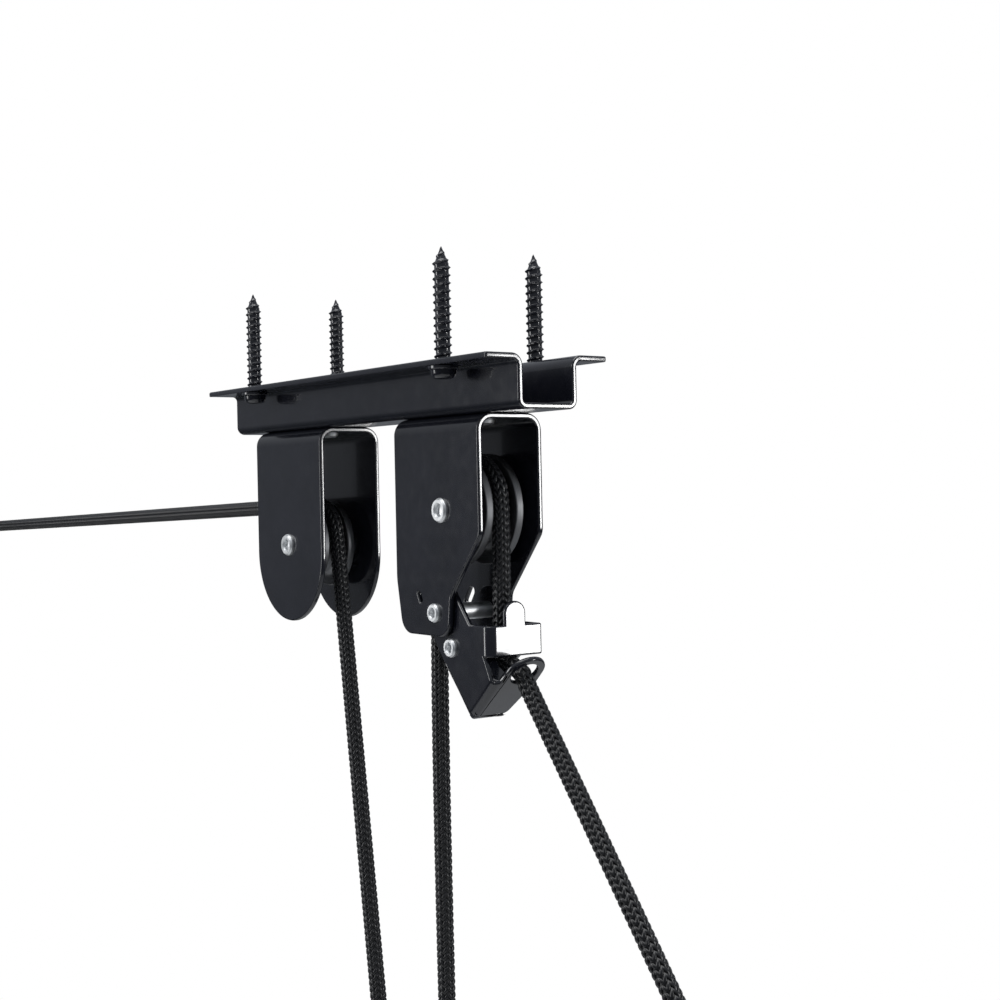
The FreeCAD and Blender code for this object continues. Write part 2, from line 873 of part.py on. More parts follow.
NODES = {
    "mounting_rail": mounting_rail(),
    "rail_lag_screws": rail_lag_screws(),
    "small_bracket": small_bracket(),
    "small_bracket_rivets": web_rivets("small_bracket_rivets", SMALL_CENTRE),
    "small_axle_rivet": cross_rivet(
        "small_axle_rivet", "small_axle_x", "small_axle_z", "bracket_width", "axle_radius", "big_head_radius"
    ),
    "small_axle_spacers": axle_spacers(
        "small_axle_spacers", "small_axle_x", "small_axle_z", "small_sheave_width"
    ),
    "small_sheave": sheave(
        "small_sheave",
        "small_axle_x",
        "small_axle_z",
        "small_sheave_radius",
        "small_groove_radius",
        "small_sheave_width",
        "small_groove_width",
    ),
    "small_sheave_bush": sheave_bush(
        "small_sheave_bush", "small_axle_x", "small_axle_z", "small_sheave_width"
    ),
    "lock_bracket": lock_bracket(),
    "lock_bracket_rivets": web_rivets("lock_bracket_rivets", LOCK_CENTRE),
    "lock_axle_rivet": cross_rivet(
        "lock_axle_rivet", "lock_axle_x", "lock_axle_z", "bracket_width", "axle_radius", "big_head_radius"
    ),
    "lock_axle_spacers": axle_spacers("lock_axle_spacers", "lock_axle_x", "lock_axle_z", "lock_sheave_width"),
    "lock_sheave": sheave(
        "lock_sheave",
        "lock_axle_x",
        "lock_axle_z",
        "lock_sheave_radius",
        "lock_groove_radius",
        "lock_sheave_width",
        "lock_groove_width",
    ),
    "lock_sheave_bush": sheave_bush("lock_sheave_bush", "lock_axle_x", "lock_axle_z", "lock_sheave_width"),
    "lever_pivot_rivet": cross_rivet(
        "lever_pivot_rivet", "pivot_x", "pivot_z", "bracket_width", "small_shank", "small_head_radius"
    ),
    "lever_pivot_sleeve": lever_sleeve("lever_pivot_sleeve", "pivot_x", "pivot_z", "0.1"),
    "lock_lever": lock_lever(),
    "lever_cross_rivet": cross_rivet(
        "lever_cross_rivet", "pair_x", "pair_z", "lever_width", "small_shank", "small_head_radius"
    ),
    "lever_cross_sleeve": lever_sleeve("lever_cross_sleeve", "pair_x", "pair_z", "0"),
    "travel_rope": rope("travel_rope", TRAVEL_ROUTE, "small_rope_circle", 4),
    "travel_far_knot": stopper_knot("travel_far_knot", TRAVEL_ROUTE[::-1]),
    "travel_fall_knot": stopper_knot("travel_fall_knot", TRAVEL_ROUTE),
    "load_rope": rope("load_rope", LOAD_ROUTE, "lock_rope_circle", 3),
    "load_knot": stopper_knot("load_knot", LOAD_ROUTE),
    "hand_rope_span": rope("hand_rope_span", SPAN_ROUTE, "lock_rope_circle", 3),
    "hand_rope_tail": rope("hand_rope_tail", HAND_ROUTE),
    "hand_knot": stopper_knot("hand_knot", HAND_ROUTE),
}

for node, item in NODES.items():
    item.Label = node
doc.recompute()

for item in doc.Objects:
    if "Invalid" in item.State or "Error" in item.State:
        raise ValueError(f"{item.Name} failed: {item.State}")
for node, item in NODES.items():
    shape = item.Shape
    if shape.isNull() or not shape.isValid():
        raise ValueError(f"{node} has no valid shape")
    print(f"{node}: {len(shape.Solids)} solids, {shape.Volume:.0f} mm3, box {shape.BoundBox}")

for node, item in NODES.items():
    item.Shape.exportStep(f"parts/{node}.step")
print(len(NODES), "nodes written")
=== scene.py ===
import json
import math

import bmesh
import bpy
import numpy as np
from mathutils import Matrix, Vector


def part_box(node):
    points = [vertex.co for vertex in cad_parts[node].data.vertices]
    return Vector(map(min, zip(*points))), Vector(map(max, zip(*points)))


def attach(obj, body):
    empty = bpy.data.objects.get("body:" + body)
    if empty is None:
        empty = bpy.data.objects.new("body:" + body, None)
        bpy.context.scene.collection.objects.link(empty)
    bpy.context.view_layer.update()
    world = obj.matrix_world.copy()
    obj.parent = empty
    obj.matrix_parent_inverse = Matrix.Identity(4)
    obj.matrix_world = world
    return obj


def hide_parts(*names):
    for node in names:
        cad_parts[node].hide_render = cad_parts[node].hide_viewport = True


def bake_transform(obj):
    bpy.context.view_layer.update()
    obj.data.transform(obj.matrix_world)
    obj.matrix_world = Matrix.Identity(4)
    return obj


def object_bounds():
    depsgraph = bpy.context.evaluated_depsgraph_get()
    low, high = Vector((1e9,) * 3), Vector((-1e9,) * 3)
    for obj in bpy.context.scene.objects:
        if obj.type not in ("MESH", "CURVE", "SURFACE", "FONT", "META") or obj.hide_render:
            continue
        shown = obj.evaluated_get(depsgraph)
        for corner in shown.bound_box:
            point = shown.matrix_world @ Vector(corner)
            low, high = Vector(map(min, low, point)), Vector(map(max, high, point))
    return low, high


# The looks of a ceiling mounted pulley rack: sheet metal with a gloss black powder coat, zinc
# plated rivets, turned steel sheaves and a black braided rope with a knot at each end.
# Lengths are in metres, in the row frame: X along the rail, Z up, Z = 0 on the joist.

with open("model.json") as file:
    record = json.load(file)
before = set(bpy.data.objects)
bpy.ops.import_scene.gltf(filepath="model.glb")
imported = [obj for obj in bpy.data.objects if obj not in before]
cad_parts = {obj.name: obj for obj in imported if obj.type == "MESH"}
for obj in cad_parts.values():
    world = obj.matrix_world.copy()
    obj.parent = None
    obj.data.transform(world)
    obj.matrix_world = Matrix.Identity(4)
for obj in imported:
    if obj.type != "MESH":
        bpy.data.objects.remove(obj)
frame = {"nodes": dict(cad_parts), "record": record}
nodes = frame["nodes"]
cad_low, cad_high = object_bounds()
scene = bpy.context.scene

MM = 0.001
ROPE_D = 6.4 * MM

# ---------------------------------------------------------------- camera

CAMERA_AT = Vector((0.50643, -0.30730, -0.04478))
CAMERA_TURN = 0.61785
CAMERA_PITCH = -0.00502
CAMERA_ROLL = -0.02044
CAMERA_LENS = 56.07


def make_camera():
    """The view: it looks along -X and +Y, nearly level with the sheaves."""
    forward = Vector((
        -math.cos(CAMERA_TURN) * math.cos(CAMERA_PITCH),
        math.sin(CAMERA_TURN) * math.cos(CAMERA_PITCH),
        math.sin(CAMERA_PITCH),
    ))
    level = forward.cross(Vector((0, 0, 1))).normalized()
    above = level.cross(forward)
    right = level * math.cos(CAMERA_ROLL) + above * math.sin(CAMERA_ROLL)
    up = above * math.cos(CAMERA_ROLL) - level * math.sin(CAMERA_ROLL)
    data = bpy.data.cameras.new("view")
    data.lens = CAMERA_LENS
    data.sensor_width = 36.0
    data.clip_start = 0.01
    camera = bpy.data.objects.new("view", data)
    turn = Matrix((right, up, -forward)).transposed().to_4x4()
    camera.matrix_world = Matrix.Translation(CAMERA_AT) @ turn
    scene.collection.objects.link(camera)
    scene.camera = camera


make_camera()

# ---------------------------------------------------------------- materials


class Shader:
    """A material's node tree with short calls for the nodes that these materials use."""

    def __init__(self, name):
        self.material = bpy.data.materials.new(name)
        self.material.use_nodes = True
        self.tree = self.material.node_tree
        self.principled = self.tree.nodes["Principled BSDF"]

    def node(self, kind, **settings):
        made = self.tree.nodes.new(kind)
        for name, value in settings.items():
            setattr(made, name, value)
        return made

    def link(self, source, target):
        self.tree.links.new(source, target)

    def set(self, **values):
        """Sockets of the principled shader, by name with underscores for spaces."""
        for name, value in values.items():
            self.principled.inputs[name.replace("_", " ")].default_value = value

    def place(self):
        return self.node("ShaderNodeTexCoord").outputs["Object"]

    def noise(self, scale, detail=3.0, vector=None, distortion=0.0):
        made = self.node("ShaderNodeTexNoise")
        made.inputs["Scale"].default_value = scale
        made.inputs["Detail"].default_value = detail
        made.inputs["Distortion"].default_value = distortion
        self.link(vector or self.place(), made.inputs["Vector"])
        return made.outputs["Fac"]

    def ramp(self, source, stops):
        made = self.node("ShaderNodeValToRGB")
        elements = made.color_ramp.elements
        while len(elements) < len(stops):
            elements.new(0.5)
        for element, (position, value) in zip(elements, stops):
            element.position = position
            colour = value if isinstance(value, tuple) else (value, value, value)
            element.color = (*colour, 1.0)
        self.link(source, made.inputs["Fac"])
        return made.outputs["Color"]

    def bump(self, source, distance, strength=1.0, after=None):
        made = self.node("ShaderNodeBump")
        made.inputs["Strength"].default_value = strength
        made.inputs["Distance"].default_value = distance
        self.link(source, made.inputs["Height"])
        if after:
            self.link(after, made.inputs["Normal"])
        return made.outputs["Normal"]

    def wire(self, socket, source):
        self.link(source, self.principled.inputs[socket])


def powder_coat():
    """Gloss black powder coat: a faint orange peel, and slightly cloudy gloss."""
    s = Shader("black_powder_coat")
    tone = s.noise(60.0, 4.0)
    s.wire("Base Color", s.ramp(tone, [(0.3, (0.008, 0.009, 0.014)), (0.7, (0.013, 0.014, 0.021))]))
    s.wire("Roughness", s.ramp(s.noise(220.0, 3.0), [(0.3, 0.16), (0.7, 0.24)]))
    peel = s.bump(s.noise(700.0, 2.0), 0.012 * MM, 0.25)
    s.wire("Normal", s.bump(s.noise(2600.0, 1.0), 0.004 * MM, 0.2, peel))
    s.set(Coat_Weight=0.5, Coat_Roughness=0.07, IOR=1.5)
    return s.material


def zinc():
    """Bright zinc plate with a fine grain and a few dull patches."""
    s = Shader("zinc_plate")
    patches = s.noise(250.0, 4.0)
    s.wire("Base Color", s.ramp(patches, [(0.3, (0.70, 0.72, 0.73)), (0.7, (0.86, 0.87, 0.88))]))
    s.wire("Roughness", s.ramp(s.noise(500.0, 3.0), [(0.3, 0.42), (0.75, 0.54)]))
    s.wire("Normal", s.bump(s.noise(1500.0, 2.0), 0.006 * MM, 0.3))
    s.set(Metallic=1.0)
    return s.material


def turned_steel(name, node):
    """Galvanised steel with the rings a lathe leaves round the node's own axle."""
    low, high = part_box(node)
    centre = (low + high) / 2
    s = Shader(name)
    shifted = s.node("ShaderNodeVectorMath", operation="SUBTRACT")
    shifted.inputs[1].default_value = centre
    s.link(s.place(), shifted.inputs[0])
    split = s.node("ShaderNodeSeparateXYZ")
    s.link(shifted.outputs["Vector"], split.inputs["Vector"])
    flat = s.node("ShaderNodeCombineXYZ")
    s.link(split.outputs["X"], flat.inputs["X"])
    s.link(split.outputs["Z"], flat.inputs["Y"])
    distance = s.node("ShaderNodeVectorMath", operation="LENGTH")
    s.link(flat.outputs["Vector"], distance.inputs[0])
    rings = s.node("ShaderNodeCombineXYZ")
    s.link(distance.outputs["Value"], rings.inputs["X"])
    s.link(split.outputs["Y"], rings.inputs["Y"])
    lathe = s.noise(4200.0, 3.0, rings.outputs["Vector"])
    s.wire("Base Color", s.ramp(lathe, [(0.3, (0.13, 0.133, 0.14)), (0.7, (0.24, 0.243, 0.25))]))
    s.wire("Roughness", s.ramp(s.noise(120.0, 4.0), [(0.3, 0.46), (0.7, 0.58)]))
    s.wire("Normal", s.bump(lathe, 0.03 * MM, 0.6))
    s.set(Metallic=1.0)
    return s.material


def bronze():
    """The oil-filled bush: dull sintered bronze with fine pores."""
    s = Shader("oil_bronze")
    pores = s.noise(3000.0, 2.0)
    s.wire("Base Color", s.ramp(pores, [(0.35, (0.20, 0.12, 0.06)), (0.6, (0.50, 0.34, 0.18))]))
    s.wire("Roughness", s.ramp(pores, [(0.3, 0.6), (0.7, 0.4)]))
    s.wire("Normal", s.bump(pores, 0.02 * MM, 0.5))
    s.set(Metallic=1.0)
    return s.material


def braid():
    """Black polyester yarn: filaments run along each strand, with a soft sheen."""
    s = Shader("black_braided_rope")
    along = s.node("ShaderNodeUVMap", uv_map="strand").outputs["UV"]
    stretched = s.node("ShaderNodeMapping")
    stretched.inputs["Scale"].default_value = (0.35, 9.0, 1.0)
    s.link(along, stretched.inputs["Vector"])
    filaments = s.noise(1.0, 3.0, stretched.outputs["Vector"], 0.4)
    shades = [(0.25, (0.002, 0.0021, 0.0026)), (0.8, (0.010, 0.0105, 0.013))]
    s.wire("Base Color", s.ramp(filaments, shades))
    s.wire("Roughness", s.ramp(filaments, [(0.2, 0.40), (0.8, 0.28)]))
    s.wire("Normal", s.bump(filaments, 0.07 * MM, 0.6))
    s.set(Sheen_Weight=0.06, Sheen_Roughness=0.35, Specular_IOR_Level=0.6)
    return s.material


def sealed_end():
    """The rope's melted end: smooth, hard and a little uneven."""
    s = Shader("sealed_rope_end")
    lumps = s.noise(700.0, 3.0)
    s.wire("Base Color", s.ramp(lumps, [(0.3, (0.008, 0.008, 0.010)), (0.7, (0.022, 0.022, 0.026))]))
    s.wire("Roughness", s.ramp(lumps, [(0.3, 0.25), (0.7, 0.45)]))
    s.wire("Normal", s.bump(lumps, 0.25 * MM, 0.7))
    return s.material


COAT = powder_coat()
ZINC = zinc()
BRONZE = bronze()
BRAID = braid()
SEALED = sealed_end()

# ---------------------------------------------------------------- ropes

# The same points as the CAD's ropes, in millimetres, and beside them points about six
# diameters along the long straight runs.
TRAVEL_ROUTE = [
    (-492.0, 0.0, -60.23),
    (-92.0, 0.0, -49.41),
    (-53.3, 0.0, -48.36),
    (-47.54, 0.0, -49.47),
    (-41.24, 0.0, -54.81),
    (-39.19, 0.0, -60.3),
    (-33.8, 0.0, -98.6),
    (-13.27, 0.0, -244.7),
]
LOAD_ROUTE = [
    (57.7, 0.0, -33.6),
    (52.34, 0.0, -33.6),
    (43.85, -0.6, -39.54),
    (41.06, -1.0, -46.39),
    (35.18, -1.5, -100.5),
    (36.9, -1.5, -233.2),
]
HAND_ROUTE = [
    (57.7, 0.0, -33.6),
    (63.22, 0.0, -33.6),
    (72.16, 0.0, -40.09),
    (74.74, -0.1, -48.02),
    (74.2, -0.3, -86.0),
    (74.2, -0.5, -98.8),
    (77.0, -0.6, -103.2),
    (85.0, -0.8, -104.3),
    (88.2, -0.8, -108.75),
    (111.0, -0.8, -136.9),
    (161.6, -0.8, -199.4),
]
# A stopper knot, in rope diameters: down the inside, once round the outside, and down the
# inside again. Its own Z points away from the rope that it ends.
KNOT = [
    (0.0, 0.0, 0.0),
    (-0.15, 0.0, 0.3),
    (-0.42, 0.05, 0.75),
    (-0.42, 0.05, 1.4),
    (-0.5, 0.15, 2.0),
    (-0.85, 0.35, 2.3),
    (-1.2, 0.5, 1.9),
    (-0.85, 0.9, 1.55),
    (0.1, 1.02, 1.4),
    (0.98, 0.75, 1.3),
    (1.22, -0.1, 1.05),
    (0.75, -0.95, 0.85),
    (-0.25, -1.08, 0.65),
    (-0.9, -0.7, 0.45),
    (-0.7, -0.15, 0.1),
    (-0.05, 0.45, 0.2),
    (0.45, 0.3, 0.7),
    (0.42, -0.1, 1.3),
    (0.42, -0.1, 2.0),
    (0.2, -0.1, 2.6),
    (0.1, -0.05, 3.2),
    (0.1, 0.0, 3.95),
]
STRANDS = 12
LAY_LENGTH = 28.8 * MM
STRAND_WIDTH = 1.5 * MM
STRAND_THICKNESS = 0.9 * MM
WEAVE_DEPTH = 0.3 * MM
RING_STEP = 0.62 * MM
CORE_SHARE = 0.72
CORE_SIDES = 10
# How hard a strand's wave is cut off, which leaves it flat over two crossings and under two.
WEAVE_SQUARENESS = 1.5
# Each strand's yarn starts this much further along, so that no two strands look alike.
YARN_SHIFT = 7 * MM
# A strand's section, in half widths and half thicknesses.
STRAND_PROFILE = [(-1.0, -0.25), (-0.62, 0.75), (0.0, 1.0), (0.62, 0.75), (1.0, -0.25), (0.0, -1.0)]
# A melted end's section, in rope radii across and half radii along.
TIP_PROFILE = [
    (0.0, -0.9),
    (0.93, -0.9),
    (1.04, -0.3),
    (1.0, 0.35),
    (0.8, 0.75),
    (0.4, 0.95),
    (0.0, 1.0),
]
TIP_SIDES = 24


def spline_points(name, points):
    """The points of the NURBS spline whose control points these are."""
    curve = bpy.data.curves.new(name, "CURVE")
    curve.dimensions = "3D"
    curve.resolution_u = 32
    spline = curve.splines.new("NURBS")
    spline.points.add(len(points) - 1)
    for point, place in zip(spline.points, points):
        point.co = (*place, 1.0)
    spline.order_u = 3
    spline.use_endpoint_u = True
    holder = bpy.data.objects.new(name, curve)
    scene.collection.objects.link(holder)
    bpy.context.view_layer.update()
    mesh = bpy.data.meshes.new_from_object(holder)
    read = np.array([v.co for v in mesh.vertices])
    bpy.data.objects.remove(holder)
    return read


def evenly(points, step):
    """The line's points again, one step apart, and how far along the line each lies."""
    runs = np.linalg.norm(np.diff(points, axis=0), axis=1)
    travelled = np.concatenate([[0.0], np.cumsum(runs)])
    places = np.linspace(0.0, travelled[-1], max(2, round(travelled[-1] / step)) + 1)
    return np.stack([np.interp(places, travelled, points[:, k]) for k in range(3)], axis=1), places


def directions(points):
    """Along the line, and two directions across it that don't twist round it."""
    along = np.gradient(points, axis=0)
    along /= np.linalg.norm(along, axis=1)[:, None]
    side = np.zeros_like(points)
    start = np.array([0.0, 1.0, 0.0]) if abs(along[0][1]) < 0.9 else np.array([1.0, 0.0, 0.0])
    for n in range(len(points)):
        carried = start if n == 0 else side[n - 1]
        flat = carried - along[n] * np.dot(carried, along[n])
        side[n] = flat / np.linalg.norm(flat)
    return along, side, np.cross(along, side)


def closed_tube(count, around):
    """Faces of a tube whose rings of vertices follow each other, with an end cap each side."""
    faces = []
    for n in range(count - 1):
        lower = n * around
        upper = lower + around
        for k in range(around):
            after = (k + 1) % around
            faces.append((lower + k, lower + after, upper + after, upper + k))
    faces.append(tuple(range(around))[::-1])
    faces.append(tuple((count - 1) * around + k for k in range(around)))
    return faces


def braided(name, line):
    """One mesh of a round braid along a line: strands both ways, two over and two under."""
    points, travelled = evenly(line, RING_STEP)
    along, side, across = directions(points)
    count = len(points)
    verts = []
    faces = []
    uvs = []

    def tube(rings, around, lengthwise):
        base = sum(len(v) for v in verts)
        verts.append(rings.reshape(-1, 3))
        for face in closed_tube(count, around):
            faces.append(tuple(base + k for k in face))
            for k in face:
                ring, spot = divmod(k, around)
                uvs.append((lengthwise[ring] / MM, spot / around))

    turn = np.linspace(0, 2 * math.pi, CORE_SIDES, endpoint=False)
    core = ROPE_D / 2 * CORE_SHARE
    rings = points[:, None, :] + core * (
        np.cos(turn)[None, :, None] * side[:, None, :]
        + np.sin(turn)[None, :, None] * across[:, None, :]
    )
    tube(rings, len(turn), travelled)

    middle = ROPE_D / 2 - WEAVE_DEPTH - STRAND_THICKNESS / 2
    profile = np.array(STRAND_PROFILE)
    for way in (1, -1):
        for strand in range(STRANDS):
            start = 2 * math.pi * (strand + 0.25) / STRANDS
            angle = way * 2 * math.pi * travelled / LAY_LENGTH + start
            crossing = 2 * strand + way * 2 * STRANDS * travelled / LAY_LENGTH + 0.5
            wave = WEAVE_SQUARENESS * np.cos(math.pi / 2 * (crossing - 0.5))
            weave = np.clip(wave, -1, 1) * way
            radius = middle + WEAVE_DEPTH * weave
            outwards = np.cos(angle)[:, None] * side + np.sin(angle)[:, None] * across
            centre = points + radius[:, None] * outwards
            heading = np.gradient(centre, axis=0)
            heading /= np.linalg.norm(heading, axis=1)[:, None]
            width = np.cross(heading, outwards)
            rings = (
                centre[:, None, :]
                + profile[None, :, :1] * STRAND_WIDTH / 2 * width[:, None, :]
                + profile[None, :, 1:] * STRAND_THICKNESS / 2 * outwards[:, None, :]
            )
            tube(rings, len(profile), travelled + strand * YARN_SHIFT)

    mesh = bpy.data.meshes.new(name)
    mesh.from_pydata(np.concatenate(verts).tolist(), [], faces)
    layer = mesh.uv_layers.new(name="strand")
    layer.data.foreach_set("uv", np.array(uvs, np.float32).ravel())
    mesh.shade_smooth()
    mesh.materials.append(BRAID)
    piece = bpy.data.objects.new(name, mesh)
    scene.collection.objects.link(piece)
    return piece


def in_metres(route):
    return [tuple(MM * c for c in place) for place in route]


def rope(name, route):
    """The braided rope along a route, and the line that it follows."""
    line = spline_points(name, in_metres(route))
    piece = braided(name, line)
    return piece, line


def melted_tip(name, at, away):
    """A round melted cap on a rope's cut end."""
    radius = ROPE_D / 2
    mesh = bpy.data.meshes.new(name)
    shape = bmesh.new()
    rings = []
    for r, h in TIP_PROFILE:
        if r == 0.0:
            rings.append([shape.verts.new((0.0, 0.0, h * radius * 0.5))])
        else:
            rings.append([
                shape.verts.new((
                    r * radius * math.cos(2 * math.pi * k / TIP_SIDES),
                    r * radius * math.sin(2 * math.pi * k / TIP_SIDES),
                    h * radius * 0.5,
                ))
                for k in range(TIP_SIDES)
            ])
    for lower, upper in zip(rings, rings[1:]):
        for k in range(TIP_SIDES):
            after = (k + 1) % TIP_SIDES
            corners = [
                lower[k % len(lower)],
                lower[after % len(lower)],
                upper[after % len(upper)],
                upper[k % len(upper)],
            ]
            # At the closed ends two corners are one vertex, which is kept once.
            shape.faces.new(list(dict.fromkeys(corners)))
    shape.to_mesh(mesh)
    shape.free()
    mesh.transform(Matrix.Translation(at) @ away.to_track_quat("Z", "Y").to_matrix().to_4x4())
    mesh.shade_smooth()
    mesh.materials.append(SEALED)
    piece = bpy.data.objects.new(name, mesh)
    scene.collection.objects.link(piece)
    return piece


def knot(name, route, body, node):
    """The braided stopper knot past a route's last point, and the melted tip of its tail."""
    last, before = (Vector(route[k]) * MM for k in (-1, -2))
    away = (last - before).normalized()
    place = Matrix.Translation(last) @ away.to_track_quat("Z", "Y").to_matrix().to_4x4()
    points = [tuple(place @ (Vector(p) * ROPE_D)) for p in KNOT]
    line = spline_points(name, points)
    piece = braided(name, line)
    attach(piece, body)
    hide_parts(node)
    tip = melted_tip(name + "_tip", Vector(line[-1]), Vector(line[-1] - line[-8]).normalized())
    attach(tip, body)
    return [piece, tip]


travel_rope, travel_line = rope("travel_rope_braid", TRAVEL_ROUTE)
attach(travel_rope, "rack")
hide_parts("travel_rope")
travel_knots = knot("travel_far_stopper", TRAVEL_ROUTE[::-1], "rack", "travel_far_knot")
travel_knots += knot("travel_fall_stopper", TRAVEL_ROUTE, "rack", "travel_fall_knot")

load_rope, load_line = rope("load_rope_braid", LOAD_ROUTE)
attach(load_rope, "rack")
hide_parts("load_rope")
load_knots = knot("load_stopper", LOAD_ROUTE, "rack", "load_knot")

hand_rope, hand_line = rope("hand_rope_braid", HAND_ROUTE)
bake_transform(hand_rope)
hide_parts("hand_rope_span", "hand_rope_tail")
hand_knots = knot("hand_stopper", HAND_ROUTE, "lock_lever", "hand_knot")

# ---------------------------------------------------------------- lag screws


HEAD_TURNS = 48
HEAD_RADIUS = 5.35 * MM
HEAD_HEIGHT = 4.4 * MM
STAR_POINTS = 6
STAR_RADIUS = 1.95
STAR_DEPTH = 0.42
# The head's section in millimetres, radius and height. None is the star's own radius.
HEAD_PROFILE = [
    (None, 2.2),
    (None, 0.15),
    (2.7, 0.0),
    (3.4, 0.22),
    (3.95, 0.75),
    (4.3, 1.6),
    (4.4, 2.7),
    (4.55, 3.1),
    (5.1, 3.2),
    (5.35, 3.4),
    (5.35, 4.2),
    (5.15, 4.4),
    (3.0, 4.4),
]
THREAD_RADIUS = 3.2 * MM
THREAD_DEPTH = 0.75 * MM
THREAD_PITCH = 2.6 * MM
THREAD_SIDES = 24
THREAD_STEPS = 10
# Half of a crest's width, as a share of the pitch.
CREST_SHARE = 0.22
RUN_OUT = 3 * MM
POINT_LENGTH = 6.0 * MM
POINT_BLUNTNESS = 0.04


def lag_screws():
    """Threaded screws with a domed washer head and a star recess, at the CAD screws' places."""
    low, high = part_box("rail_lag_screws")
    spots = [
        (x, y)
        for x in (low.x + HEAD_RADIUS, high.x - HEAD_RADIUS)
        for y in (low.y + HEAD_RADIUS, high.y - HEAD_RADIUS)
    ]
    mesh = bpy.data.meshes.new("threaded_lag_screws")
    shape = bmesh.new()
    for x, y in spots:
        add_head(shape, x, y, low.z)
        add_thread(shape, x, y, low.z + HEAD_HEIGHT, high.z)
    shape.to_mesh(mesh)
    shape.free()
    mesh.shade_smooth()
    mesh.set_sharp_from_angle(angle=math.radians(40))
    piece = bpy.data.objects.new("threaded_lag_screws", mesh)
    scene.collection.objects.link(piece)
    return piece


def skin(shape, rings):
    """Quads between rings of vertices, closed at both ends."""
    for lower, upper in zip(rings, rings[1:]):
        for k in range(len(lower)):
            after = (k + 1) % len(lower)
            shape.faces.new((lower[k], lower[after], upper[after], upper[k]))
    shape.faces.new(rings[0][::-1])
    shape.faces.new(rings[-1])


def add_head(shape, x, y, low):
    """The head, from its star recess outwards over the dome and the washer rim to the shank."""
    star = [
        STAR_RADIUS + STAR_DEPTH * math.cos(STAR_POINTS * 2 * math.pi * k / HEAD_TURNS)
        for k in range(HEAD_TURNS)
    ]
    rings = []
    for radius, height in HEAD_PROFILE:
        ring = []
        for k in range(HEAD_TURNS):
            r = (radius or star[k]) * MM
            a = 2 * math.pi * k / HEAD_TURNS
            ring.append(shape.verts.new((x + r * math.cos(a), y + r * math.sin(a), low + height * MM)))
        rings.append(ring)
    for lower, upper in zip(rings, rings[1:]):
        for k in range(HEAD_TURNS):
            after = (k + 1) % HEAD_TURNS
            shape.faces.new((lower[k], upper[k], upper[after], lower[after]))
    shape.faces.new(rings[0])
    shape.faces.new(rings[-1][::-1])


def add_thread(shape, x, y, low, high):
    """A coarse wood thread with a sharp point. Its crest is as wide as the CAD's plain stud."""
    rings = []
    levels = int((high - low) / (THREAD_PITCH / THREAD_STEPS))
    for n in range(levels + 1):
        z = low + (high - low) * n / levels
        taper = min(1.0, (high - z) / POINT_LENGTH + POINT_BLUNTNESS)
        smooth = min(1.0, (z - low) / RUN_OUT)
        ring = []
        for k in range(THREAD_SIDES):
            phase = ((z - low) / THREAD_PITCH - k / THREAD_SIDES) % 1.0
            crest = max(0.0, 1.0 - abs(phase - 0.5) / CREST_SHARE)
            r = (THREAD_RADIUS - THREAD_DEPTH * (1.0 - crest) * smooth) * taper
            a = 2 * math.pi * k / THREAD_SIDES
            ring.append(shape.verts.new((x + r * math.cos(a), y + r * math.sin(a), z)))
        rings.append(ring)
    skin(shape, rings)


screws = lag_screws()
screws.data.materials.append(COAT)
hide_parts("rail_lag_screws")
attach(screws, "rack")

# ---------------------------------------------------------------- CAD nodes

MATERIAL_OF_SLOT = {"black_powder_coat": COAT, "zinc_plate": ZINC, "oil_bronze": BRONZE}
# Each slot's edge rounding in millimetres, and the least angle in degrees that counts as an edge.
EDGE_OF_SLOT = {
    "black_powder_coat": (0.66, 60),
    "zinc_plate": (0, 28),
    "oil_bronze": (0.2, 60),
    "galvanised_sheave": (0, 28),
}


WELD_DISTANCE = 0.0005 * MM
FLATNESS = 0.4
EDGE_SEGMENTS = 3
AREA_WEIGHT = 90


def fresh_shading():
    """Nodes that drop a mesh's stored normals and sharp marks as it passes through them."""
    tree = bpy.data.node_groups.new("fresh_shading", "GeometryNodeTree")
    for way in ("INPUT", "OUTPUT"):
        tree.interface.new_socket("Geometry", in_out=way, socket_type="NodeSocketGeometry")
    last = tree.nodes.new("NodeGroupInput").outputs["Geometry"]
    drop = tree.nodes.new("GeometryNodeRemoveAttribute")
    drop.inputs["Name"].default_value = "custom_normal"
    tree.links.new(last, drop.inputs["Geometry"])
    last = drop.outputs["Geometry"]
    for domain in ("EDGE", "FACE"):
        smooth = tree.nodes.new("GeometryNodeSetShadeSmooth")
        smooth.domain = domain
        tree.links.new(last, smooth.inputs["Geometry"])
        last = smooth.outputs["Geometry"]
    tree.links.new(last, tree.nodes.new("NodeGroupOutput").inputs["Geometry"])
    return tree


FRESH_SHADING = fresh_shading()


def soften_edges(node, width, sharpest):
    """Rounds a node's sharp edges, as paint and wear do. Modifiers do it, so its mesh stays."""
    shading = node.modifiers.new("fresh_shading", "NODES")
    shading.node_group = FRESH_SHADING
    weld = node.modifiers.new("one_surface", "WELD")
    weld.merge_threshold = WELD_DISTANCE
    if width == 0:
        split = node.modifiers.new("sharp_edges", "EDGE_SPLIT")
        split.split_angle = math.radians(sharpest)
        return
    flat = node.modifiers.new("plain_faces", "DECIMATE")
    flat.decimate_type = "DISSOLVE"
    flat.angle_limit = math.radians(FLATNESS)
    bevel = node.modifiers.new("round_edges", "BEVEL")
    bevel.limit_method = "ANGLE"
    bevel.angle_limit = math.radians(sharpest)
    bevel.width = width
    bevel.segments = EDGE_SEGMENTS
    bevel.use_clamp_overlap = False
    even = node.modifiers.new("even_shading", "WEIGHTED_NORMAL")
    even.weight = AREA_WEIGHT


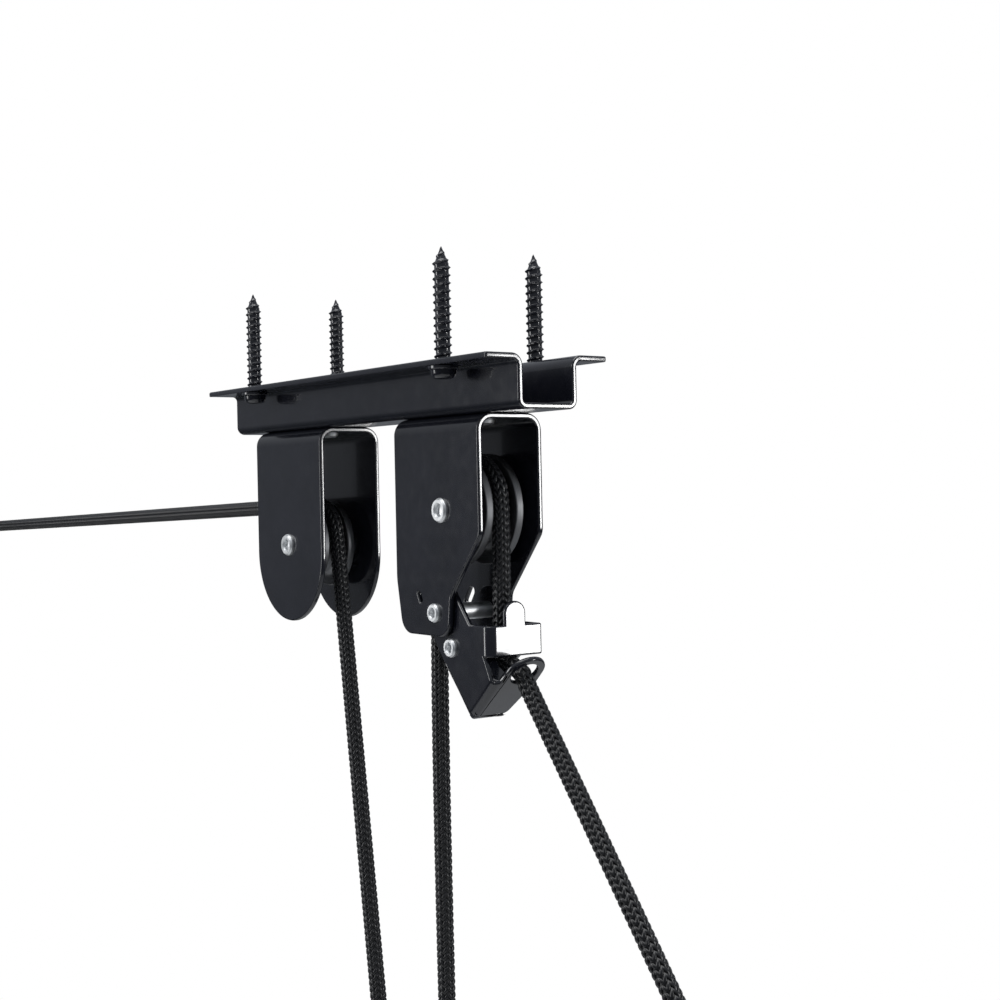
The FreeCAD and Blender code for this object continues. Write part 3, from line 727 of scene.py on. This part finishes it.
for part in frame["record"]["subparts"]:
    node = nodes[part["node"]]
    slot = part["material_slot"]
    if slot == "black_braided_rope" or node.hide_render:
        continue
    material = MATERIAL_OF_SLOT.get(slot) or turned_steel("steel_of_" + node.name, node.name)
    # The object's own slot takes the material, so the CAD mesh stays as it was packed.
    node.material_slots[0].link = "OBJECT"
    node.material_slots[0].material = material
    rounding, sharpest = EDGE_OF_SLOT[slot]
    soften_edges(node, rounding * MM, sharpest)

# ---------------------------------------------------------------- studio


def plain(name, colour, roughness):
    s = Shader(name)
    s.set(Base_Color=(*colour, 1.0), Roughness=roughness)
    return s.material


FLOOR_HALF = 1.2
FLOOR_BELOW = 0.70


def make_floor():
    """A pale floor, well below the ropes' ends."""
    height = cad_low.z - FLOOR_BELOW
    mesh = bpy.data.meshes.new("floor")
    sides = [(-1, -1), (1, -1), (1, 1), (-1, 1)]
    corners = [(FLOOR_HALF * x, FLOOR_HALF * y, height) for x, y in sides]
    mesh.from_pydata(corners, [], [(0, 1, 2, 3)])
    mesh.materials.append(plain("pale_floor", (0.86, 0.86, 0.85), 0.8))
    floor = bpy.data.objects.new("floor", mesh)
    scene.collection.objects.link(floor)


def softbox(name, at, aim, width, height, radiance, spread=180):
    """A rectangular lamp that looks equally bright whatever its size."""
    data = bpy.data.lights.new(name, "AREA")
    data.shape = "RECTANGLE"
    data.size = width
    data.size_y = height
    data.energy = radiance * math.pi * width * height
    data.spread = math.radians(spread)
    lamp = bpy.data.objects.new(name, data)
    lamp.location = at
    lamp.rotation_euler = (Vector(aim) - Vector(at)).to_track_quat("-Z", "Y").to_euler()
    scene.collection.objects.link(lamp)


def make_world():
    """White to the eye. It lights the object dimly from above and hardly from below."""
    world = bpy.data.worlds.new("studio")
    scene.world = world
    world.use_nodes = True
    tree = world.node_tree
    shown = tree.nodes["Background"]
    shown.inputs["Color"].default_value = (1.0, 1.0, 1.0, 1.0)
    shown.inputs["Strength"].default_value = 1.0
    place = tree.nodes.new("ShaderNodeTexCoord")
    split = tree.nodes.new("ShaderNodeSeparateXYZ")
    tree.links.new(place.outputs["Generated"], split.inputs["Vector"])
    height = tree.nodes.new("ShaderNodeMapRange")
    height.inputs["From Min"].default_value = -0.4
    height.inputs["From Max"].default_value = 0.9
    tree.links.new(split.outputs["Z"], height.inputs["Value"])
    shade = tree.nodes.new("ShaderNodeValToRGB")
    low, high = shade.color_ramp.elements
    low.color = (0.030, 0.034, 0.036, 1.0)
    high.position = 1.0
    high.color = (0.40, 0.42, 0.45, 1.0)
    middle = shade.color_ramp.elements.new(0.35)
    middle.color = (0.17, 0.18, 0.20, 1.0)
    tree.links.new(height.outputs["Result"], shade.inputs["Fac"])
    lit = tree.nodes.new("ShaderNodeBackground")
    tree.links.new(shade.outputs["Color"], lit.inputs["Color"])
    path = tree.nodes.new("ShaderNodeLightPath")
    mix = tree.nodes.new("ShaderNodeMixShader")
    tree.links.new(path.outputs["Is Camera Ray"], mix.inputs["Fac"])
    tree.links.new(lit.outputs["Background"], mix.inputs[1])
    tree.links.new(shown.outputs["Background"], mix.inputs[2])
    tree.links.new(mix.outputs["Shader"], tree.nodes["World Output"].inputs["Surface"])


make_floor()
make_world()
softbox("key_softbox", (1.055, 0.715, -0.075), (0.05, 0.0, -0.06), 0.12, 0.37, 9.0, 100)
softbox("front_softbox", (-0.62, -1.05, 0.1), (0.0, 0.0, -0.06), 0.35, 0.9, 6.0)
softbox("top_softbox", (0.0, -0.2, 1.3), (0.0, 0.0, 0.0), 1.2, 1.2, 3.0)
scene.view_settings.view_transform = "Standard"
